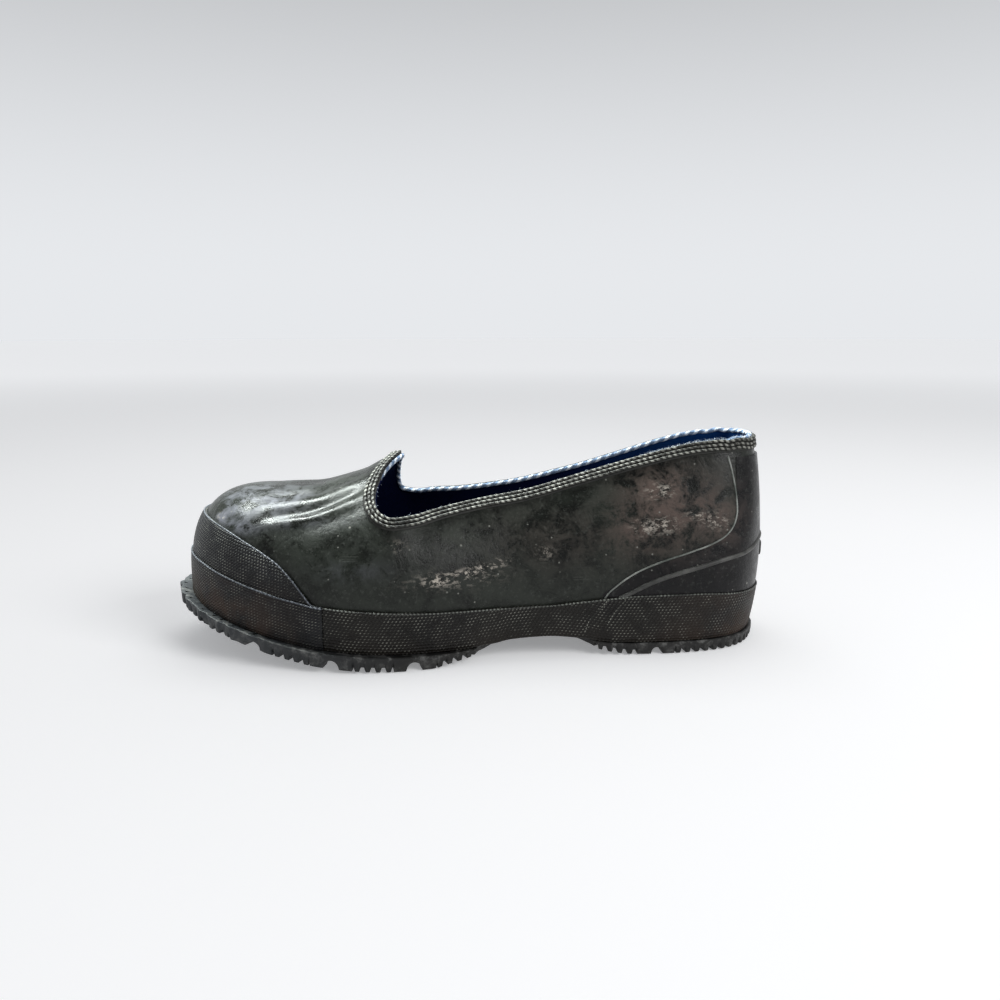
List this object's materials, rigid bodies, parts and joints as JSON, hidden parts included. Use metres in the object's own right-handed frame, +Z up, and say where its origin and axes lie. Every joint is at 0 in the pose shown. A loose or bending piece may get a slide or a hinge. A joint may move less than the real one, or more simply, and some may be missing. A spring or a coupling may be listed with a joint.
{
  "type": "rubber overshoe",
  "caption": "Low slip-on rubber overshoe for the left foot with a raised instep, corded collar, textured foxing band, toe bumper, heel counter and lugged sole",
  "frame": {"origin": "centre of the bounding box's base, on the floor plane", "axes": "toe along -X, outer side along -Y, up along +Z"},
  "size_m": [0.3094, 0.1221, 0.1066],
  "materials": {
    "upper_rubber": "semi-gloss",
    "outsole_rubber": "matt",
    "insole_fabric": "matt",
    "foxing_rubber": "matt",
    "bumper_rubber": "matt",
    "counter_rubber": "semi-gloss",
    "binding_rubber": "matt",
    "pad_rubber": "matt"
  },
  "bodies": {
    "root": {"upper": "upper_rubber", "outsole": "outsole_rubber", "insole": "insole_fabric", "foxing": "foxing_rubber", "toe_bumper": "bumper_rubber", "heel_counter": "counter_rubber", "collar_binding": "binding_rubber", "heel_pad": "pad_rubber"}
  },
  "joints": []
}
